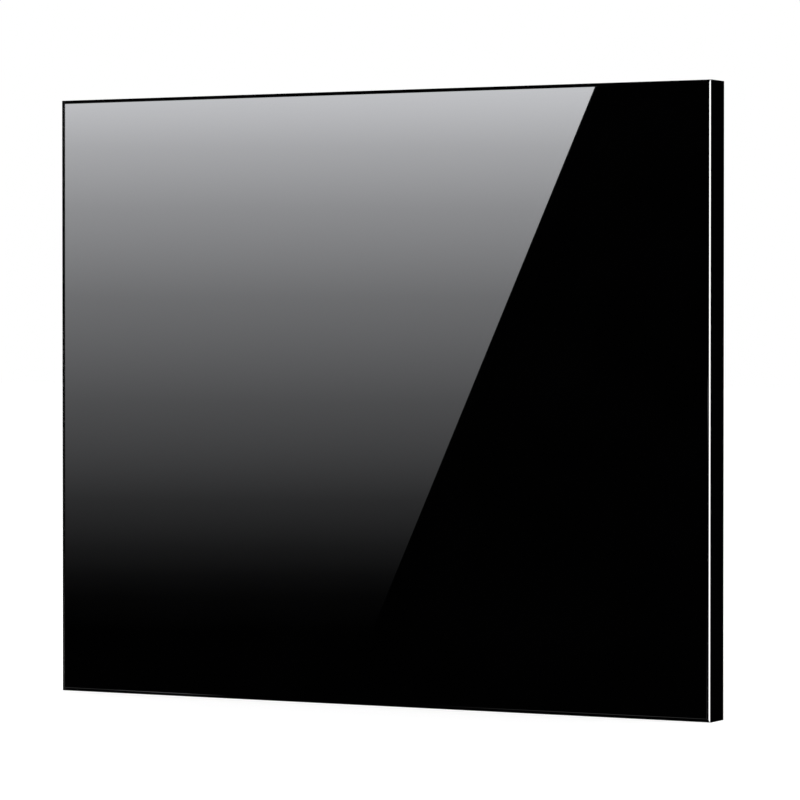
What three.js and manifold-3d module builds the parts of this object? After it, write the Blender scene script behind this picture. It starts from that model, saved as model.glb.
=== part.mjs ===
// Kick plate for the foot of a door: a gloss black faced board with banded edges, stuck on from behind.
//
// Lengths are in millimetres. X runs across the door, Z runs up it, and the plate's front faces -Y.
// The origin is the centre of the back, in the plane that lies against the door.
//
// From the door outwards the plate is: release liner, foam tape, back sheet, glue line, core board,
// glue line, face sheet. Four edge bands close the sides of the board.

import Module from "manifold-3d";
import * as THREE from "three";
import { mergeVertices } from "three/addons/utils/BufferGeometryUtils.js";

// Driving dimensions of the finished board, over its bands.
const WIDTH = 300;
const HEIGHT = 250;

// Layers of the board, and the thickness that they come to.
const CORE = 10;
const FACE_SHEET = 1.5;
const BACK_SHEET = 1.5;
const GLUE_LINE = 0.125;
const THICKNESS = CORE + FACE_SHEET + BACK_SHEET + 2 * GLUE_LINE;

// Edge bands. The front arris is rounded over the band's whole thickness, the back one is only eased.
const BAND = 1;
const FRONT_ARRIS = BAND;
const BACK_ARRIS = 0.5;
const ARC_DIVISIONS = 4; // an arc gets twice as many facets as this

// Foam tape: upright strips, set in from the board's edges, each under a liner with a tab at its top.
const TAPE_COUNT = 5;
const TAPE_PITCH = 62;
const TAPE_WIDTH = 25;
const TAPE_THICKNESS = 1.125;
const TAPE_INSET = 12;
const LINER_THICKNESS = 0.125;
const TAB_LENGTH = 12;
const TAB_RADIUS = 6;

// Planes and edges that several pieces share.
const BOARD_BACK = -(LINER_THICKNESS + TAPE_THICKNESS);
const CORE_WIDTH = WIDTH - 2 * BAND;
const CORE_HEIGHT = HEIGHT - 2 * BAND;
const TAPE_BOTTOM = -HEIGHT / 2 + TAPE_INSET;
const TAB_TOP = HEIGHT / 2 - TAPE_INSET;
const TAPE_TOP = TAB_TOP - TAB_LENGTH;

const QUARTER_TURN = Math.PI / 2;

const wasm = await Module();
wasm.setup();

const FINISHES = {
  glossAcrylic: { color: 0x09090a, roughness: 0.03, metalness: 0 },
  edgeBand: { color: 0x0a0a0b, roughness: 0.08, metalness: 0 },
  fibreboard: { color: 0x1c1a18, roughness: 0.95, metalness: 0 },
  glue: { color: 0x8a7f68, roughness: 0.5, metalness: 0 },
  backing: { color: 0x121213, roughness: 0.6, metalness: 0 },
  foam: { color: 0x3b3c3e, roughness: 0.95, metalness: 0 },
  linerFilm: { color: 0xa8161c, roughness: 0.25, metalness: 0 },
};

function namedMesh(name, geometry, finish) {
  const mesh = new THREE.Mesh(geometry, new THREE.MeshStandardMaterial(FINISHES[finish]));
  mesh.name = name;
  return mesh;
}

// The five layers between the bands, laid from the back sheet to the face.
function boardLayers() {
  const layers = [
    { name: "back_sheet", thickness: BACK_SHEET, finish: "backing" },
    { name: "back_bond_film", thickness: GLUE_LINE, finish: "glue" },
    { name: "core_board", thickness: CORE, finish: "fibreboard" },
    { name: "face_bond_film", thickness: GLUE_LINE, finish: "glue" },
    { name: "face_sheet", thickness: FACE_SHEET, finish: "glossAcrylic" },
  ];
  const group = new THREE.Group();
  let back = BOARD_BACK;
  for (const { name, thickness, finish } of layers) {
    const layer = namedMesh(name, new THREE.BoxGeometry(CORE_WIDTH, thickness, CORE_HEIGHT), finish);
    layer.position.y = back - thickness / 2;
    group.add(layer);
    back -= thickness;
  }
  return group;
}

function solidOf(geometry) {
  const bare = geometry.clone();
  bare.deleteAttribute("normal");
  bare.deleteAttribute("uv");
  const merged = mergeVertices(bare);
  const vertProperties = merged.getAttribute("position").array;
  const triVerts = new Uint32Array(merged.index.array);
  return new wasm.Manifold(new wasm.Mesh({ numProp: 3, vertProperties, triVerts }));
}

function geometryOf(solid) {
  const { vertProperties, triVerts } = solid.getMesh();
  const indexed = new THREE.BufferGeometry();
  indexed.setAttribute("position", new THREE.BufferAttribute(vertProperties, 3));
  indexed.setIndex(new THREE.BufferAttribute(triVerts, 1));
  const geometry = indexed.toNonIndexed();
  geometry.computeVertexNormals();
  return geometry;
}

function extruded(shape, depth) {
  return new THREE.ExtrudeGeometry(shape, { depth, bevelEnabled: false, curveSegments: ARC_DIVISIONS });
}

// A band is made for the top edge: X along the edge, Y from the board's back to its front, Z out of
// the edge. The board's front faces -Y, so Y is counted down from 0 at the back.

// The length of a band, with its arrises, from a section in the plane across it.
function bandBar(length) {
  const section = new THREE.Shape();
  section.moveTo(0, 0);
  section.lineTo(BAND - BACK_ARRIS, 0);
  section.absarc(BAND - BACK_ARRIS, BACK_ARRIS, BACK_ARRIS, -QUARTER_TURN, 0);
  section.absarc(0, THICKNESS - FRONT_ARRIS, FRONT_ARRIS, 0, QUARTER_TURN);
  const bar = extruded(section, length);
  bar.translate(0, 0, -length / 2);
  // Section x becomes Z, section y becomes -Y, and the length runs along X.
  const outwards = new THREE.Vector3(0, 0, 1);
  const forwards = new THREE.Vector3(0, -1, 0);
  const along = new THREE.Vector3(1, 0, 0);
  return bar.applyMatrix4(new THREE.Matrix4().makeBasis(outwards, forwards, along));
}

// The board seen from above, with the arrises of its upright bands, as a block that a band's ends
// are trimmed to.
function boardPlan() {
  const side = WIDTH / 2;
  const front = -THICKNESS;
  const plan = new THREE.Shape();
  plan.moveTo(BACK_ARRIS - side, 0);
  plan.absarc(BACK_ARRIS - side, -BACK_ARRIS, BACK_ARRIS, QUARTER_TURN, 2 * QUARTER_TURN);
  plan.absarc(FRONT_ARRIS - side, front + FRONT_ARRIS, FRONT_ARRIS, 2 * QUARTER_TURN, 3 * QUARTER_TURN);
  plan.absarc(side - FRONT_ARRIS, front + FRONT_ARRIS, FRONT_ARRIS, 3 * QUARTER_TURN, 4 * QUARTER_TURN);
  plan.absarc(side - BACK_ARRIS, -BACK_ARRIS, BACK_ARRIS, 0, QUARTER_TURN);
  return extruded(plan, 3 * BAND).translate(0, 0, -BAND);
}

// The bands of the top and bottom edges run over the ends of the upright ones, and are trimmed to them.
function longBand() {
  return geometryOf(solidOf(bandBar(WIDTH)).intersect(solidOf(boardPlan())));
}

// Turns a band about Y from the top edge onto its own edge.
function placedBand(name, geometry, edgeDistance, turn) {
  const band = namedMesh(name, geometry, "edgeBand");
  band.position.set(0, BOARD_BACK, edgeDistance);
  const placed = new THREE.Group();
  placed.add(band);
  placed.rotation.y = turn;
  return placed;
}

function edgeBands() {
  const group = new THREE.Group();
  group.add(
    placedBand("top_edge_band", longBand(), CORE_HEIGHT / 2, 0),
    placedBand("right_edge_band", bandBar(CORE_HEIGHT), CORE_WIDTH / 2, QUARTER_TURN),
    placedBand("bottom_edge_band", longBand(), CORE_HEIGHT / 2, 2 * QUARTER_TURN),
    placedBand("left_edge_band", bandBar(CORE_HEIGHT), CORE_WIDTH / 2, -QUARTER_TURN),
  );
  return group;
}

// A liner covers its strip and runs past the top of it as a tab with round corners.
function linerOutline() {
  const half = TAPE_WIDTH / 2;
  const outline = new THREE.Shape();
  outline.moveTo(-half, TAPE_BOTTOM);
  outline.lineTo(half, TAPE_BOTTOM);
  outline.absarc(half - TAB_RADIUS, TAB_TOP - TAB_RADIUS, TAB_RADIUS, 0, QUARTER_TURN);
  outline.absarc(TAB_RADIUS - half, TAB_TOP - TAB_RADIUS, TAB_RADIUS, QUARTER_TURN, 2 * QUARTER_TURN);
  return outline;
}

function tapeStrip(number) {
  const tapeLength = TAPE_TOP - TAPE_BOTTOM;
  const foam = namedMesh(
    `foam_tape_${number}`,
    new THREE.BoxGeometry(TAPE_WIDTH, TAPE_THICKNESS, tapeLength),
    "foam",
  );
  foam.position.set(0, BOARD_BACK + TAPE_THICKNESS / 2, TAPE_BOTTOM + tapeLength / 2);

  const liner = namedMesh(
    `release_liner_${number}`,
    extruded(linerOutline(), LINER_THICKNESS),
    "linerFilm",
  );
  liner.rotation.x = QUARTER_TURN; // the outline stands up, and its thickness runs from Y = 0 towards -Y

  const strip = new THREE.Group();
  strip.add(foam, liner);
  return strip;
}

// Strips are numbered from left to right, as seen from the front, and spread about the middle.
function tapeStrips() {
  const group = new THREE.Group();
  for (let i = 0; i < TAPE_COUNT; i++) {
    const strip = tapeStrip(i + 1);
    strip.position.x = (i - (TAPE_COUNT - 1) / 2) * TAPE_PITCH;
    group.add(strip);
  }
  return group;
}

const kickPlate = new THREE.Group();
kickPlate.add(boardLayers(), edgeBands(), tapeStrips());

export default kickPlate;
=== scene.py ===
"""Looks of the kick plate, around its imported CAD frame: finer meshes, materials, studio and camera.

Lengths are in metres, in the CAD frame: X across the door, Z up, and the plate's front faces -Y.
"""

import math
import random

import bpy
from mathutils import Matrix, Vector, noise


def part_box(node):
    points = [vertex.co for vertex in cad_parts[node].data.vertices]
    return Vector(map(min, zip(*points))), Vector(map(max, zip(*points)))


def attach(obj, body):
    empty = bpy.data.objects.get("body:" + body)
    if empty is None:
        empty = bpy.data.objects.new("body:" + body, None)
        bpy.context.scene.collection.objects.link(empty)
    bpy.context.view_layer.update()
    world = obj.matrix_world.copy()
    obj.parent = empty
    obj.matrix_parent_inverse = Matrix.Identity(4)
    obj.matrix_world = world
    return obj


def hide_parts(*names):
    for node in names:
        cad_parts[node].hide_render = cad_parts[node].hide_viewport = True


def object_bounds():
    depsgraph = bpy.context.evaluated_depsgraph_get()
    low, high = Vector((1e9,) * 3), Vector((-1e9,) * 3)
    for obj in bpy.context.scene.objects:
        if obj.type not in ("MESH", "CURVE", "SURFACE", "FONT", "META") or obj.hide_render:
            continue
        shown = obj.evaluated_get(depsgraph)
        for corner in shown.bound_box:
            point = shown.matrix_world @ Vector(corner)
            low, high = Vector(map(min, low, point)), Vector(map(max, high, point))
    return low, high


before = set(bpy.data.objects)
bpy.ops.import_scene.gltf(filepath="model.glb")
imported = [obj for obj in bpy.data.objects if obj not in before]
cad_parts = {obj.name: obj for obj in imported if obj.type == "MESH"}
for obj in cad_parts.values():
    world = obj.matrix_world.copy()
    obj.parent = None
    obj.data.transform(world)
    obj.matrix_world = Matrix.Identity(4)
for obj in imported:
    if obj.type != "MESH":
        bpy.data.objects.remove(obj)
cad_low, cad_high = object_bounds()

MM = 0.001
UP = Vector((0, 0, 1))

# ---------------------------------------------------------------------------
# Places, from the frame
# ---------------------------------------------------------------------------

FACE_LOW, FACE_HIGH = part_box("face_sheet")
BACK_LOW, BACK_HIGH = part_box("back_sheet")
TOP_LOW, TOP_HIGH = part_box("top_edge_band")

BOARD_FRONT = TOP_LOW.y
BOARD_BACK = TOP_HIGH.y
BOARD_SIDE = TOP_HIGH.x
BOARD_TOP = TOP_HIGH.z
BOARD_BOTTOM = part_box("bottom_edge_band")[0].z
BAND = TOP_HIGH.z - TOP_LOW.z
DOOR_PLANE = cad_high.y  # where the liners' outer faces lie
STRIP_COUNT = sum(name.startswith("foam_tape_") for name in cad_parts)


# ---------------------------------------------------------------------------
# Mesh helpers
# ---------------------------------------------------------------------------

SQUARE = ((-1, -1), (1, -1), (1, 1), (-1, 1))
SHARP_ANGLE = math.radians(35)  # edges that turn by more than this stay sharp
FLAT_FACE_WEIGHT = 100  # the most that larger faces can count for in the normals at their corners


def new_object(name, points, faces, material):
    """A mesh object whose curved faces shade smooth and whose other edges stay sharp."""
    mesh = bpy.data.meshes.new(name)
    mesh.from_pydata([tuple(point) for point in points], [], faces)
    mesh.validate()
    mesh.polygons.foreach_set("use_smooth", [True] * len(mesh.polygons))
    mesh.set_sharp_from_angle(angle=SHARP_ANGLE)
    mesh.materials.append(material)
    piece = bpy.data.objects.new(name, mesh)
    bpy.context.scene.collection.objects.link(piece)
    return piece


def new_quad(name, corners, material):
    """An object of one flat face with four corners."""
    return new_object(name, corners, [(0, 1, 2, 3)], material)


def stand_for(piece, node, body):
    """piece takes the place of a CAD node, on its body."""
    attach(piece, body)
    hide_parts(node)
    return piece


def weight_normals(piece):
    """Flat faces keep their own normals right up to the curves beside them."""
    modifier = piece.modifiers.new("flat_faces_first", "WEIGHTED_NORMAL")
    modifier.keep_sharp = True
    modifier.weight = FLAT_FACE_WEIGHT


def arc(centre_u, centre_v, radius, start, end, steps):
    """Points of an arc in a plane, from one angle to another, in degrees."""
    points = []
    for i in range(steps + 1):
        angle = math.radians(start + (end - start) * i / steps)
        points.append((centre_u + radius * math.cos(angle), centre_v + radius * math.sin(angle)))
    return points


def round_inset(radius, distance):
    """How far a round corner is set in from the side, at a distance from the end that it rounds."""
    into_round = max(0, radius - distance)
    return radius - math.sqrt(max(0, radius**2 - into_round**2))


# ---------------------------------------------------------------------------
# Edge bands
# ---------------------------------------------------------------------------

# The arrises are as large as in the CAD, with more steps round them
FRONT_ARRIS = BAND
BACK_ARRIS = 0.5 * MM
ARRIS_STEPS = 14
BAND_STATIONS = (-1, -0.5, 0, 0.5, 1)  # shares of the half length that is the same at every depth
END_LENGTH = 2 * BAND  # beyond the last station, where a band's end is trimmed
BAND_EASE = 0.04 * MM
BAND_EASE_STEPS = 2
BAND_EASE_ANGLE = math.radians(40)  # edges that turn by more than this are eased


def band_outline():
    """(depth, height) of a band's outside, from the face round to the back.

    Depth is Y in the frame, and height is how far the point stands out of the core's edge.
    """
    front = arc(BOARD_FRONT + FRONT_ARRIS, BAND - FRONT_ARRIS, FRONT_ARRIS, 180, 90, ARRIS_STEPS)
    back = arc(BOARD_BACK - BACK_ARRIS, BAND - BACK_ARRIS, BACK_ARRIS, 90, 0, ARRIS_STEPS)
    return front + back


def trimmed_half_length(depth):
    """Half the length of a long band at a depth: its ends follow the upright bands' arrises."""
    front = round_inset(FRONT_ARRIS, depth - BOARD_FRONT)
    back = round_inset(BACK_ARRIS, BOARD_BACK - depth)
    return BOARD_SIDE - front - back


def upright_half_length(depth):
    """Half the length of an upright band, the same at every depth."""
    return BOARD_TOP - BAND


def band_mesh(half_length_at):
    """Points and faces of a band along X, standing on the plane Z = 0."""
    inner = half_length_at(BOARD_FRONT) - END_LENGTH
    rows = []
    for depth, height in band_outline():
        end = half_length_at(depth)
        along = [-end] + [share * inner for share in BAND_STATIONS] + [end]
        rows.append([(x, depth, height) for x in along])
    columns = len(rows[0])
    last = len(rows) - 1
    points = [point for row in rows for point in row]

    # The seat, against the core, repeats each row at height 0. The first row is there already.
    seat = {(0, j): j for j in range(columns)}
    for i, row in enumerate(rows[1:], start=1):
        for j, (x, depth, _) in enumerate(row):
            seat[i, j] = len(points)
            points.append((x, depth, 0))

    def outside(i, j):
        return i * columns + j

    faces = []
    for i in range(last):
        for j in range(columns - 1):
            faces.append((outside(i, j), outside(i, j + 1), outside(i + 1, j + 1), outside(i + 1, j)))
            faces.append((seat[i, j], seat[i + 1, j], seat[i + 1, j + 1], seat[i, j + 1]))
        for j, flip in ((0, False), (columns - 1, True)):
            # The end walls start as triangles, where the first row is its own seat.
            wall = list(dict.fromkeys([outside(i, j), outside(i + 1, j), seat[i + 1, j], seat[i, j]]))
            faces.append(tuple(reversed(wall)) if flip else tuple(wall))
    for j in range(columns - 1):
        faces.append((outside(last, j), outside(last, j + 1), seat[last, j + 1], seat[last, j]))
    return points, faces


def edge_band(name, half_length_at, turn, core_edge, material):
    """A band turned about Y from the top edge onto its own edge, core_edge out from the middle."""
    points, faces = band_mesh(half_length_at)
    place = Matrix.Rotation(math.radians(turn), 4, "Y") @ Matrix.Translation((0, 0, core_edge))
    band = new_object(name + "_fine", [place @ Vector(point) for point in points], faces, material)
    ease = band.modifiers.new("eased_ends", "BEVEL")
    ease.width = BAND_EASE
    ease.segments = BAND_EASE_STEPS
    ease.limit_method = "ANGLE"
    ease.angle_limit = BAND_EASE_ANGLE
    weight_normals(band)
    return stand_for(band, name, "board")


def edge_bands(material):
    """The four bands round the board. The long ones run over the ends of the upright ones."""
    core_top = BOARD_TOP - BAND
    core_side = BOARD_SIDE - BAND
    return [
        edge_band("top_edge_band", trimmed_half_length, 0, core_top, material),
        edge_band("right_edge_band", upright_half_length, 90, core_side, material),
        edge_band("bottom_edge_band", trimmed_half_length, 180, core_top, material),
        edge_band("left_edge_band", upright_half_length, -90, core_side, material),
    ]


# ---------------------------------------------------------------------------
# Face and back sheets
# ---------------------------------------------------------------------------

FACE_ARRIS = 1.0 * MM  # radius of the face sheet's trimmed edge
FACE_ARRIS_WIDTH = 0.5 * MM  # how much of that round the sheet keeps
FACE_ARRIS_STEPS = 6
BACK_EASE = 0.1 * MM  # radius of the back sheet's edge, along its joint with the bands
BACK_EASE_STEPS = 4
SQUARE_EDGE = [(0, 0)]


def trimmed_round(radius, width, steps):
    """(inset, drop) down a round that ends width out from where it leaves the flat."""
    most = math.asin(width / radius)
    turns = [most * i / steps for i in range(steps + 1)]
    return [(width - radius * math.sin(turn), radius * (1 - math.cos(turn))) for turn in turns]


def sheet_mesh(low, high, front_round, back_round):
    """Points and faces of a flat sheet, by rings from its front to its back.

    A round is a list of (inset, drop) from the flat to the edge.
    """
    rings = [(inset, low.y + drop) for inset, drop in front_round]
    rings += [(inset, high.y - drop) for inset, drop in reversed(back_round)]
    points = []
    for inset, y in rings:
        left, right = low.x + inset, high.x - inset
        foot, head = low.z + inset, high.z - inset
        points += [(left, y, foot), (right, y, foot), (right, y, head), (left, y, head)]
    faces = [(0, 1, 2, 3)]
    for i in range(len(rings) - 1):
        for j in range(4):
            k = (j + 1) % 4
            faces.append((4 * i + j, 4 * (i + 1) + j, 4 * (i + 1) + k, 4 * i + k))
    end = 4 * (len(rings) - 1)
    faces.append((end + 3, end + 2, end + 1, end))
    return points, faces


def face_sheet(material):
    """The face, whose edge is trimmed along with the bands, a little way into the sheet."""
    trimmed = trimmed_round(FACE_ARRIS, FACE_ARRIS_WIDTH, FACE_ARRIS_STEPS)
    sheet = new_object("face_sheet_fine", *sheet_mesh(FACE_LOW, FACE_HIGH, trimmed, SQUARE_EDGE), material)
    weight_normals(sheet)
    return stand_for(sheet, "face_sheet", "board")


def back_sheet(material):
    """The sheet behind the core, eased a little along its joint with the bands."""
    eased = trimmed_round(BACK_EASE, BACK_EASE, BACK_EASE_STEPS)
    sheet = new_object("back_sheet_fine", *sheet_mesh(BACK_LOW, BACK_HIGH, SQUARE_EDGE, eased), material)
    weight_normals(sheet)
    return stand_for(sheet, "back_sheet", "board")


# ---------------------------------------------------------------------------
# Foam tape
# ---------------------------------------------------------------------------

FOAM_SIDE_ROWS = 5
FOAM_STEP = 1.6 * MM  # between one ring of points and the next, up a strip
FOAM_ROUGH = 0.14 * MM  # how far the cut sides are eaten back at most
FOAM_RIM = 0.35  # share of that at the stuck faces
FOAM_CELL = 1.1 * MM
FOAM_LUMP = 6 * FOAM_CELL


def noise_share(point):
    """Noise at a point, from 0 to 1."""
    return 0.5 + 0.5 * noise.noise(point)


def foam_inset(point):
    """How far a cut side of the foam is eaten back at a point, half-way between its stuck faces."""
    return FOAM_ROUGH * (noise_share(point / FOAM_LUMP) + noise_share(point / FOAM_CELL)) / 2


def foam_strip(number, material):
    """A strip of foam with flat stuck faces and slightly ragged, waisted cut sides."""
    node = f"foam_tape_{number}"
    low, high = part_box(node)
    middle_x = (low.x + high.x) / 2
    half = (high.x - low.x) / 2
    steps = round((high.z - low.z) / FOAM_STEP)
    rows = FOAM_SIDE_ROWS
    points = []
    for i in range(steps + 1):
        z = low.z + (high.z - low.z) * i / steps
        for side in (-1, 1):
            for j in range(rows):
                # One side runs forwards and the other backwards, so the points go round the strip.
                share = j / (rows - 1) if side == -1 else 1 - j / (rows - 1)
                y = high.y + (low.y - high.y) * share
                waist = 4 * share * (1 - share)  # 0 at the stuck faces, and 1 half-way
                place = Vector((middle_x + side * half, y, z))
                inset = foam_inset(place) * (FOAM_RIM + (1 - FOAM_RIM) * waist)
                points.append((place.x - side * inset, y, z))
    around = 2 * rows
    faces = []
    for i in range(steps):
        for j in range(around):
            k = (j + 1) % around
            faces.append((around * i + j, around * i + k, around * (i + 1) + k, around * (i + 1) + j))
    faces.append(tuple(reversed(range(around))))
    faces.append(tuple(around * steps + j for j in range(around)))
    strip = new_object(node + "_fine", points, faces, material)
    return stand_for(strip, node, "board")


# ---------------------------------------------------------------------------
# Release liners
# ---------------------------------------------------------------------------

LINER_ROWS = 120
TAB_ROWS = 24
LINER_COLUMNS = 12
TAB_RADIUS = 6 * MM
CURL_LEAST = 0.35 * MM
CURL_MOST = 0.8 * MM
LEAN_MOST = 0.25  # how much more one corner of a tab may curl than its middle, as a share
LINER_SEED = 7
LINER_RIPPLE = 0.03 * MM
# How fast the film's waves and cockles change: for each metre across, each metre up and each liner
WAVES = (90, 22, 7.3)
COCKLES = (260, 140, 3.1)
WAVE_SHARE = 0.35
COCKLE_SHARE = 0.15


def liner_half_width(z, half, top):
    """Half the liner's width at a height: full, then round at the two corners of its tab."""
    return half - round_inset(TAB_RADIUS, top - z)


def liner_heights(low, tab_foot, high):
    """Heights of a liner's rows: even along the strip, and closer together up the tab."""
    strip = [low + (tab_foot - low) * i / LINER_ROWS for i in range(LINER_ROWS)]
    turns = [math.pi / 2 * i / TAB_ROWS for i in range(TAB_ROWS + 1)]
    return strip + [tab_foot + (high - tab_foot) * math.sin(turn) for turn in turns]


def film_noise(x, z, number, pace):
    """Noise at a place on one liner, from -1 to 1, that changes at a pace like WAVES."""
    across, up, apart = pace
    return noise.noise(Vector((x * across, z * up, number * apart)))


def liner_ripple(x, z, number):
    """Shallow waves of a film laid on foam, from 0 to LINER_RIPPLE."""
    wave = WAVE_SHARE * film_noise(x, z, number, WAVES)
    cockle = COCKLE_SHARE * film_noise(x, z, number, COCKLES)
    return LINER_RIPPLE * (0.5 + wave + cockle)


def liner_points(number, tab_foot, curl, lean):
    """Rows of points up a liner, each across its outer face and then across its inner one."""
    low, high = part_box(f"release_liner_{number}")
    middle_x = (low.x + high.x) / 2
    half = (high.x - low.x) / 2
    points = []
    for z in liner_heights(low.z, tab_foot, high.z):
        up_tab = max(0, (z - tab_foot) / (high.z - tab_foot))
        width = liner_half_width(z, half, high.z)
        for outer in (True, False):
            for j in range(LINER_COLUMNS + 1):
                across = -1 + 2 * j / LINER_COLUMNS
                x = middle_x + across * width
                bend = curl * up_tab**2 * (1 + lean * across)
                lift = liner_ripple(x, z, number) if outer else 0
                y = (high.y if outer else low.y) - bend - lift
                points.append((x, y, z))
    return points


def liner_faces():
    """Faces between a liner's rows of points, and across its foot and its head."""
    row = 2 * (LINER_COLUMNS + 1)
    last = LINER_ROWS + TAB_ROWS

    def outer(i, j):
        return i * row + j

    def inner(i, j):
        return i * row + LINER_COLUMNS + 1 + j

    faces = []
    for i in range(last):
        for j in range(LINER_COLUMNS):
            faces.append((outer(i, j), outer(i + 1, j), outer(i + 1, j + 1), outer(i, j + 1)))
            faces.append((inner(i, j), inner(i, j + 1), inner(i + 1, j + 1), inner(i + 1, j)))
        faces.append((outer(i, 0), inner(i, 0), inner(i + 1, 0), outer(i + 1, 0)))
        j = LINER_COLUMNS
        faces.append((outer(i, j), outer(i + 1, j), inner(i + 1, j), inner(i, j)))
    for j in range(LINER_COLUMNS):
        faces.append((outer(0, j), outer(0, j + 1), inner(0, j + 1), inner(0, j)))
        faces.append((outer(last, j), inner(last, j), inner(last, j + 1), outer(last, j + 1)))
    return faces


def release_liner(number, rng, material):
    """A film laid on its foam strip, whose pull tab curls in towards the board."""
    node = f"release_liner_{number}"
    tab_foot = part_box(f"foam_tape_{number}")[1].z
    curl = rng.uniform(CURL_LEAST, CURL_MOST)
    lean = rng.uniform(-LEAN_MOST, LEAN_MOST)
    points = liner_points(number, tab_foot, curl, lean)
    liner = new_object(node + "_fine", points, liner_faces(), material)
    return stand_for(liner, node, f"liner_{number}")


# ---------------------------------------------------------------------------
# Material helpers
# ---------------------------------------------------------------------------

# The range that noise mostly lies in
NOISE_LOW = 0.3
NOISE_HIGH = 0.7


def node_material(name):
    """A material, its node tree and its Principled shader."""
    material = bpy.data.materials.new(name)
    material.use_nodes = True
    tree = material.node_tree
    return material, tree, tree.nodes["Principled BSDF"]


def place_texture(tree, texture, scale, squeeze):
    """Lays a texture out in the piece's own metres, made finer along each axis by squeeze."""
    coordinates = tree.nodes.new("ShaderNodeTexCoord")
    mapping = tree.nodes.new("ShaderNodeMapping")
    mapping.inputs["Scale"].default_value = squeeze
    texture.inputs["Scale"].default_value = scale
    tree.links.new(coordinates.outputs["Object"], mapping.inputs["Vector"])
    tree.links.new(mapping.outputs["Vector"], texture.inputs["Vector"])


def placed_noise(tree, scale, squeeze=(1, 1, 1), detail=3.0, roughness=0.5):
    """Soft noise, mostly from NOISE_LOW to NOISE_HIGH."""
    texture = tree.nodes.new("ShaderNodeTexNoise")
    texture.inputs["Detail"].default_value = detail
    texture.inputs["Roughness"].default_value = roughness
    place_texture(tree, texture, scale, squeeze)
    return texture.outputs["Fac"]


def placed_cells(tree, scale):
    """Distance to the nearest of many scattered cell centres."""
    texture = tree.nodes.new("ShaderNodeTexVoronoi")
    place_texture(tree, texture, scale, (1, 1, 1))
    return texture.outputs["Distance"]


def between(tree, value, low, high):
    """low to high, as value goes from NOISE_LOW to NOISE_HIGH."""
    remap = tree.nodes.new("ShaderNodeMapRange")
    remap.inputs["From Min"].default_value = NOISE_LOW
    remap.inputs["From Max"].default_value = NOISE_HIGH
    remap.inputs["To Min"].default_value = low
    remap.inputs["To Max"].default_value = high
    tree.links.new(value, remap.inputs["Value"])
    return remap.outputs["Result"]


def two_tones(tree, value, dark, light, low=NOISE_LOW, high=NOISE_HIGH):
    """dark to light, as value goes from low to high."""
    ramp = tree.nodes.new("ShaderNodeValToRGB")
    ramp.color_ramp.elements[0].position = low
    ramp.color_ramp.elements[0].color = (*dark, 1)
    ramp.color_ramp.elements[1].position = high
    ramp.color_ramp.elements[1].color = (*light, 1)
    tree.links.new(value, ramp.inputs["Fac"])
    return ramp.outputs["Color"]


def add_bump(tree, shader, height, distance, strength=1.0):
    """Bumps on the surface, distance high where height goes from 0 to 1."""
    bump = tree.nodes.new("ShaderNodeBump")
    bump.inputs["Strength"].default_value = strength
    bump.inputs["Distance"].default_value = distance
    tree.links.new(height, bump.inputs["Height"])
    tree.links.new(bump.outputs["Normal"], shader.inputs["Normal"])


# ---------------------------------------------------------------------------
# Materials
# ---------------------------------------------------------------------------


def gloss_acrylic():
    """Cast black acrylic: a mirror finish with the faintest wiping marks."""
    material, tree, shader = node_material("gloss_acrylic")
    shader.inputs["IOR"].default_value = 1.49
    cloud = placed_noise(tree, scale=35)
    colour = two_tones(tree, cloud, dark=(0.0002, 0.0002, 0.00022), light=(0.0004, 0.0004, 0.00045))
    tree.links.new(colour, shader.inputs["Base Color"])
    wiping = placed_noise(tree, scale=60, squeeze=(1, 1, 30), detail=4)
    tree.links.new(between(tree, wiping, low=0.003, high=0.006), shader.inputs["Roughness"])
    return material


def gloss_band():
    """Black edge band, scraped flush and buffed: fine lines run along it."""
    material, tree, shader = node_material("edge_band")
    shader.inputs["IOR"].default_value = 1.5
    cloud = placed_noise(tree, scale=50)
    colour = two_tones(tree, cloud, dark=(0.0003, 0.0003, 0.00035), light=(0.0006, 0.0006, 0.0007))
    tree.links.new(colour, shader.inputs["Base Color"])
    buffing = placed_noise(tree, scale=220, squeeze=(1, 9, 1), detail=5)
    tree.links.new(between(tree, buffing, low=0.015, high=0.035), shader.inputs["Roughness"])
    return material


def backing_sheet():
    """Matt black balancing sheet with a fine pearled texture and a few rubbed patches."""
    material, tree, shader = node_material("backing_sheet")
    shader.inputs["IOR"].default_value = 1.5
    patches = placed_noise(tree, scale=14, detail=5, roughness=0.6)
    colour = two_tones(tree, patches, dark=(0.010, 0.010, 0.0105), light=(0.015, 0.015, 0.016))
    tree.links.new(colour, shader.inputs["Base Color"])
    tree.links.new(between(tree, patches, low=0.58, high=0.46), shader.inputs["Roughness"])
    pearl = placed_cells(tree, scale=1100)
    add_bump(tree, shader, pearl, distance=0.03 * MM, strength=0.7)
    return material


def foam():
    """Closed-cell acrylic foam, dark grey, with its cut cell pattern showing, and painted shade that
    darkens the pit of each cell.
    """
    material, tree, shader = node_material("tape_foam")
    shader.inputs["Roughness"].default_value = 0.92
    cell_pits_and_shade = placed_cells(tree, scale=3600)
    # Painted shade: each cell is darkest at the bottom of its pit, where the bump sinks, and lightest at
    # its rim.
    dark, light = (0.028, 0.029, 0.031), (0.075, 0.077, 0.08)
    colour = two_tones(tree, cell_pits_and_shade, dark, light, low=0.1, high=0.6)
    tree.links.new(colour, shader.inputs["Base Color"])
    add_bump(tree, shader, cell_pits_and_shade, distance=0.08 * MM)
    return material


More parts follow.
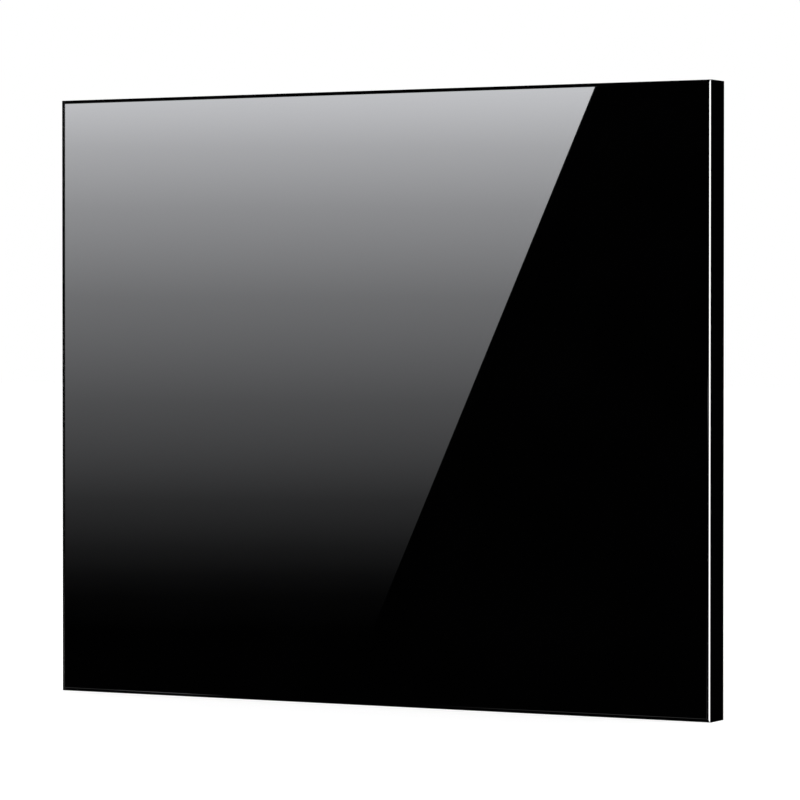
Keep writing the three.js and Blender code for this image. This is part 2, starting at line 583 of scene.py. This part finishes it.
def liner_film():
    """Red polyethylene film: smooth, drawn along its length, a little darker where it lies tight."""
    material, tree, shader = node_material("liner_film")
    shader.inputs["IOR"].default_value = 1.51
    tight = placed_noise(tree, scale=45, squeeze=(1, 1, 0.35), detail=4)
    colour = two_tones(tree, tight, dark=(0.32, 0.007, 0.011), light=(0.40, 0.011, 0.016))
    tree.links.new(colour, shader.inputs["Base Color"])
    drawn = placed_noise(tree, scale=420, squeeze=(1, 1, 0.03), detail=3)
    tree.links.new(between(tree, drawn, low=0.1, high=0.17), shader.inputs["Roughness"])
    add_bump(tree, shader, drawn, distance=0.002 * MM, strength=0.5)
    return material


def fibreboard():
    """Through-dyed black fibreboard: short pressed fibres, lying flat in the board."""
    material, tree, shader = node_material("fibreboard")
    shader.inputs["Roughness"].default_value = 0.95
    fibres = placed_noise(tree, scale=900, squeeze=(0.35, 2.2, 0.35), detail=6, roughness=0.7)
    colour = two_tones(tree, fibres, dark=(0.006, 0.005, 0.0045), light=(0.03, 0.025, 0.021))
    tree.links.new(colour, shader.inputs["Base Color"])
    add_bump(tree, shader, fibres, distance=0.1 * MM)
    return material


def glue_line():
    """Cured hot-melt glue, cloudy amber."""
    material, tree, shader = node_material("glue_line")
    shader.inputs["IOR"].default_value = 1.48
    cloud = placed_noise(tree, scale=120, detail=4)
    colour = two_tones(tree, cloud, dark=(0.18, 0.14, 0.08), light=(0.32, 0.27, 0.17))
    tree.links.new(colour, shader.inputs["Base Color"])
    tree.links.new(between(tree, cloud, low=0.4, high=0.6), shader.inputs["Roughness"])
    return material


def finish_hidden_layers():
    """The core and its glue lines keep their CAD shape, closed in by the sheets and the bands."""
    glue = glue_line()
    finishes = {"core_board": fibreboard(), "face_bond_film": glue, "back_bond_film": glue}
    for node, material in finishes.items():
        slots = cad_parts[node].data.materials
        slots.clear()
        slots.append(material)


# ---------------------------------------------------------------------------
# Camera
# ---------------------------------------------------------------------------

VIEW_AZIMUTH = 28.35  # degrees round to the right of straight ahead
VIEW_DROP = 0.93  # degrees, looking down
VIEW_DISTANCE = 1.6239
VIEW_AIM = Vector((13 * MM, BOARD_FRONT, -0.5 * MM))
LENS = 180.6  # in millimetres, as Blender has it


def outwards(azimuth, elevation):
    """The direction from the plate at an azimuth, round from straight ahead to the right, in degrees."""
    turn, rise = math.radians(azimuth), math.radians(elevation)
    level = math.cos(rise)
    return Vector((math.sin(turn) * level, -math.cos(turn) * level, math.sin(rise)))


def looking(azimuth, drop):
    """(forward, right, up) of a camera that stands at azimuth round the plate and looks down by drop."""
    forward = -outwards(azimuth, drop)
    right = forward.cross(UP).normalized()
    return forward, right, right.cross(forward)


def add_camera():
    """A camera that looks at VIEW_AIM from the main view."""
    forward, right, up = looking(VIEW_AZIMUTH, VIEW_DROP)
    data = bpy.data.cameras.new("camera")
    data.lens = LENS
    camera = bpy.data.objects.new("camera", data)
    bpy.context.scene.collection.objects.link(camera)
    place = VIEW_AIM - forward * VIEW_DISTANCE
    turn = Matrix((right, up, -forward)).transposed().to_4x4()
    camera.matrix_world = Matrix.Translation(place) @ turn
    bpy.context.scene.camera = camera


# ---------------------------------------------------------------------------
# Studio cards: what the gloss reflects
# ---------------------------------------------------------------------------


def reflected_only(thing):
    """Shows thing to glossy rays and to nothing else."""
    thing.visible_camera = False
    thing.visible_diffuse = False
    thing.visible_transmission = False
    thing.visible_volume_scatter = False
    thing.visible_shadow = False


def keep_to(card, pieces):
    """Lets only these pieces show the card's light."""
    receivers = bpy.data.collections.new(card.name + "_receivers")
    for piece in pieces:
        receivers.objects.link(piece)
    card.light_linking.receiver_collection = receivers


def light_material(name, radiance):
    """A material that only shines, and its emission shader."""
    material = bpy.data.materials.new(name)
    material.use_nodes = True
    tree = material.node_tree
    tree.nodes.clear()
    light = tree.nodes.new("ShaderNodeEmission")
    output = tree.nodes.new("ShaderNodeOutputMaterial")
    light.inputs["Strength"].default_value = radiance
    tree.links.new(light.outputs["Emission"], output.inputs["Surface"])
    return material, light


# ---------------------------------------------------------------------------
# Gradient cards: the grey gradient with its slanted edge, in the face
# ---------------------------------------------------------------------------

CARD_DEPTH = 12  # how far in front of the eye a gradient card seems to stand, behind the face
CARD_TINT = (0.98, 0.99, 1.025)  # a little cool
CARD_PEAK = 25.5  # a radiance that black gloss, seen square on, reflects as white
# (height up the card, brightness on the plate as the eye sees it)
CARD_FADE = (
    (0.0, 0.0),
    (0.06, 0.014),
    (0.1, 0.042),
    (0.15, 0.09),
    (0.235, 0.162),
    (0.32, 0.24),
    (0.41, 0.295),
    (0.6, 0.42),
    (0.76, 0.545),
    (0.87, 0.645),
    (1.0, 0.785),
)
# Where a card's slanted edge crosses the face, in shares of its width and height
SLANT_FOOT = (0.501, 0.12)
SLANT_HEAD = (0.837, 1.0)
CARD_LEFT = 0.0033  # how far across the face its left edge is seen
OVERSCAN = 0.01  # how far over the face's top edge it goes on
PLATE_MIDDLE = Vector((0, BOARD_FRONT / 2, 0))
ROUND_DISTANCE = 2.03  # from the plate's middle to the eyes other than the camera's own
# (azimuth, drop, aim, distance, share of the brightness) of each eye that gets a gradient card
CARD_EYES = {
    "main": (VIEW_AZIMUTH, VIEW_DROP, VIEW_AIM, VIEW_DISTANCE, 1.0),
    "raised": (45, 25, PLATE_MIDDLE, ROUND_DISTANCE, 0.5),
    "raised_left": (-45, 20, PLATE_MIDDLE, ROUND_DISTANCE, 0.5),
    "square_on": (0, 3, PLATE_MIDDLE, ROUND_DISTANCE, 0.3),
    "behind": (225, 15, PLATE_MIDDLE, ROUND_DISTANCE, 0.2),
}


def linear(display):
    """Linear light of a display brightness from 0 to 1."""
    if display <= 0.04045:
        return display / 12.92
    return ((display + 0.055) / 1.055) ** 2.4


def fading_light(name, share):
    """Light that grows up the card, by the stops of CARD_FADE."""
    material, light = light_material(name, CARD_PEAK * share)
    tree = material.node_tree
    coordinates = tree.nodes.new("ShaderNodeTexCoord")
    split = tree.nodes.new("ShaderNodeSeparateXYZ")
    ramp = tree.nodes.new("ShaderNodeValToRGB")
    stops = ramp.color_ramp.elements
    while len(stops) < len(CARD_FADE):
        stops.new(1.0)
    for stop, (height, brightness) in zip(stops, CARD_FADE):
        stop.position = height
        stop.color = (*(linear(brightness) * tint for tint in CARD_TINT), 1)
    tree.links.new(coordinates.outputs["Generated"], split.inputs["Vector"])
    tree.links.new(split.outputs["Y"], ramp.inputs["Fac"])
    tree.links.new(ramp.outputs["Color"], light.inputs["Color"])
    return material


def mirrored(vector, plane=0.0):
    """A direction, or a point with its plane, on the other side of a mirror that stands across Y."""
    return Vector((vector.x, 2 * plane - vector.y, vector.z))


def gradient_card(name, azimuth, drop, aim, distance, share, front, back):
    """A card with one slanted edge that the plate shows to one eye, as if it stood behind the plate.

    front and back are the pieces that show it to an eye on their side.
    """
    forward, right, up = looking(azimuth, drop)
    eye = aim - forward * distance
    if eye.y < BOARD_FRONT:
        mirror, left_side, right_side, showing = BOARD_FRONT, FACE_LOW.x, FACE_HIGH.x, front
    else:
        mirror, left_side, right_side, showing = DOOR_PLANE, FACE_HIGH.x, FACE_LOW.x, back

    def on_card(across, height):
        """Card coordinates of what is seen through a point, in shares of the face's width and height."""
        x = left_side + (right_side - left_side) * across
        z = FACE_LOW.z + (FACE_HIGH.z - FACE_LOW.z) * height
        ray = Vector((x, mirror, z)) - eye
        ray *= CARD_DEPTH / ray.dot(forward)
        return Vector((ray.dot(right), ray.dot(up)))

    foot = on_card(*SLANT_FOOT)
    head = on_card(*SLANT_HEAD)
    left = min(on_card(CARD_LEFT, 0).x, on_card(CARD_LEFT, 1).x)
    top = max(on_card(0, 1 + OVERSCAN).y, on_card(1, 1 + OVERSCAN).y)
    slope = (head.x - foot.x) / (head.y - foot.y)
    corner = foot.x + slope * (top - foot.y)
    corners = [(left, foot.y, 0), (foot.x, foot.y, 0), (corner, top, 0), (left, top, 0)]
    card = new_quad(name + "_card", corners, fading_light(name + "_light", share))
    centre = mirrored(eye + forward * CARD_DEPTH, mirror)
    axes = (mirrored(right), mirrored(up), mirrored(forward))
    card.matrix_world = Matrix.Translation(centre) @ Matrix(axes).transposed().to_4x4()
    reflected_only(card)
    keep_to(card, showing)


# ---------------------------------------------------------------------------
# Soft and bright cards: sheen on the edges and the face, and the white line
# ---------------------------------------------------------------------------

# Each is (azimuth, elevation, width, height, radiance), seen from the plate. Sizes are angles too.
SOFT_CARDS = {
    "beside": (90, -3, 8, 22, 1.6),
    "behind_low": (135, -26, 12, 13, 1.4),
    "behind_low_left": (-135, -22, 12, 13, 1.4),
    "behind_high": (-135, 26, 22, 18, 1.2),
    "ahead_high": (45, 15, 22, 15, 0.7),
    "ahead_high_left": (-45, 15, 20, 14, 0.7),
    "ahead_low_left": (-45, -14.5, 14, 10, 1.4),
    "overhead": (0, 84, 30, 30, 1.0),
}
# Bright, and shown by the bands alone: together they make the line up the right arris
ARRIS_CARDS = {
    "arris_level": (54.5, -1.5, 64, 13, 29),
    "arris_low": (67.5, -26.2, 35, 12, 50),
}
ARRIS_CARD_DEPTH = 1.1 * CARD_DEPTH  # beyond all the others, so that they never cover them
# Rows of soft cards, shown by the face alone to eyes that a gradient card isn't made for:
# (elevation, azimuths, width, height, radiance)
FACE_CARD_ROWS = (
    (-14, (-66, -19, 20, 66), 15, 11, 1.5),
    (-40, (-60, -20, 20, 60), 24, 20, 1.2),
)
FLAG_REACH = 150 * MM
FLAG_OVERRUN = 60 * MM  # below the plate, because arris_low shines up from below


def soft_edged_light(name, radiance):
    """Light that falls away evenly from the middle of a card to its rim."""
    material, light = light_material(name, radiance)
    tree = material.node_tree
    coordinates = tree.nodes.new("ShaderNodeTexCoord")
    falloff = tree.nodes.new("ShaderNodeTexGradient")
    falloff.gradient_type = "SPHERICAL"
    tree.links.new(coordinates.outputs["Object"], falloff.inputs["Vector"])
    tree.links.new(falloff.outputs["Color"], light.inputs["Color"])
    return material


def card_at(name, azimuth, elevation, width, height, depth, material):
    """A far card that faces the plate."""
    card = new_quad(name + "_card", [(u, v, 0) for u, v in SQUARE], material)
    out = outwards(azimuth, elevation)
    turn = out.to_track_quat("Z", "Y").to_matrix().to_4x4()
    half_width = depth * math.tan(math.radians(width / 2))
    half_height = depth * math.tan(math.radians(height / 2))
    size = Matrix.Diagonal((half_width, half_height, 1, 1))
    card.matrix_world = Matrix.Translation(out * depth) @ turn @ size
    reflected_only(card)
    return card


def soft_card(name, azimuth, elevation, width, height, radiance):
    """A card that is bright in its middle."""
    light = soft_edged_light(name + "_light", radiance)
    return card_at(name, azimuth, elevation, width, height, CARD_DEPTH, light)


def face_cards(front):
    """The rows of soft cards that only the face shows."""
    for elevation, azimuths, width, height, radiance in FACE_CARD_ROWS:
        for azimuth in azimuths:
            card = soft_card(f"face_{azimuth}_{elevation}", azimuth, elevation, width, height, radiance)
            keep_to(card, front)


def arris_card(name, azimuth, elevation, width, height, radiance, bands):
    """An evenly bright card whose light is kept to the bands."""
    light, _ = light_material(name + "_light", radiance)
    card = card_at(name, azimuth, elevation, width, height, ARRIS_CARD_DEPTH, light)
    keep_to(card, bands)


def side_flag():
    """A black flag that stands out beside the right side face and keeps the arris cards off it."""
    depth = BOARD_FRONT + FRONT_ARRIS
    foot, head = BOARD_BOTTOM - FLAG_OVERRUN, BOARD_TOP
    near, far = BOARD_SIDE, BOARD_SIDE + FLAG_REACH
    corners = [(near, depth, foot), (far, depth, foot), (far, depth, head), (near, depth, head)]
    black, _ = light_material("flag_black", 0)
    reflected_only(new_quad("side_flag", corners, black))


# ---------------------------------------------------------------------------
# Studio: floor, background and soft light
# ---------------------------------------------------------------------------

FLOOR_REACH = 9.0
FLOOR_GAP = 0.05 * MM
FLOOR_GLOW = 0.68
# (place, size, power) of the lamps
LAMPS = {
    "key": ((-1.7, -2.0, 1.7), 1.8, 25),
    "back": ((1.5, 2.0, 1.6), 1.8, 40),
}
SKY_POWER = 2.6
SKY_SPREAD = math.radians(130)


def floor():
    """A plain pale light table at the foot of the plate. The gloss doesn't show it."""
    material, tree, shader = node_material("pale_floor")
    shader.inputs["Roughness"].default_value = 0.9
    shader.inputs["Specular IOR Level"].default_value = 0
    shader.inputs["Emission Color"].default_value = (1, 1, 1, 1)
    shader.inputs["Emission Strength"].default_value = FLOOR_GLOW
    grain = placed_noise(tree, scale=3, detail=4)
    colour = two_tones(tree, grain, dark=(0.49, 0.49, 0.49), light=(0.51, 0.51, 0.51))
    tree.links.new(colour, shader.inputs["Base Color"])
    ground = new_quad("floor", [(FLOOR_REACH * u, FLOOR_REACH * v, 0) for u, v in SQUARE], material)
    ground.location.z = BOARD_BOTTOM - FLOOR_GAP
    ground.visible_glossy = False


def background():
    """White to the camera, and dark to all else: the plate is lit by the lamps and the cards."""
    world = bpy.data.worlds.new("studio")
    bpy.context.scene.world = world
    world.use_nodes = True
    tree = world.node_tree
    tree.nodes.clear()
    path = tree.nodes.new("ShaderNodeLightPath")
    white = tree.nodes.new("ShaderNodeBackground")
    output = tree.nodes.new("ShaderNodeOutputWorld")
    white.inputs["Color"].default_value = (1, 1, 1, 1)
    tree.links.new(path.outputs["Is Camera Ray"], white.inputs["Strength"])
    tree.links.new(white.outputs["Background"], output.inputs["Surface"])


def add_lamp(data, place):
    """Hangs a lamp at place, aimed at the plate. The gloss doesn't show it."""
    lamp = bpy.data.objects.new(data.name, data)
    bpy.context.scene.collection.objects.link(lamp)
    lamp.location = place
    lamp.rotation_mode = "QUATERNION"
    lamp.rotation_quaternion = (-Vector(place)).to_track_quat("-Z", "Y")
    lamp.visible_glossy = False


def soft_lamp(name, place, size, power):
    """A square lamp at place."""
    data = bpy.data.lights.new(name, "AREA")
    data.shape = "SQUARE"
    data.size = size
    data.energy = power
    add_lamp(data, place)


def soft_sky():
    """Even light from all over the ceiling."""
    data = bpy.data.lights.new("sky", "SUN")
    data.energy = SKY_POWER
    data.angle = SKY_SPREAD
    add_lamp(data, 3 * UP)


def studio(bands, front, back):
    """The light, for the edge bands and for the pieces that the front and the back show."""
    bpy.context.scene.view_settings.view_transform = "Standard"
    background()
    floor()
    soft_sky()
    for name, lamp in LAMPS.items():
        soft_lamp(name, *lamp)
    for name, eye in CARD_EYES.items():
        gradient_card(name, *eye, front, back)
    for name, card in SOFT_CARDS.items():
        soft_card(name, *card)
    face_cards(front)
    for name, card in ARRIS_CARDS.items():
        arris_card(name, *card, bands)
    side_flag()


# ---------------------------------------------------------------------------
# The whole scene
# ---------------------------------------------------------------------------


def plate():
    """Builds the plate. Gives its edge bands, and the pieces that its front and its back show."""
    bands = edge_bands(gloss_band())
    front = [face_sheet(gloss_acrylic())]
    back = [back_sheet(backing_sheet())]
    finish_hidden_layers()
    foam_material = foam()
    film = liner_film()
    rng = random.Random(LINER_SEED)
    for number in range(1, STRIP_COUNT + 1):
        back.append(foam_strip(number, foam_material))
        back.append(release_liner(number, rng, film))
    return bands, front, back


add_camera()
studio(*plate())
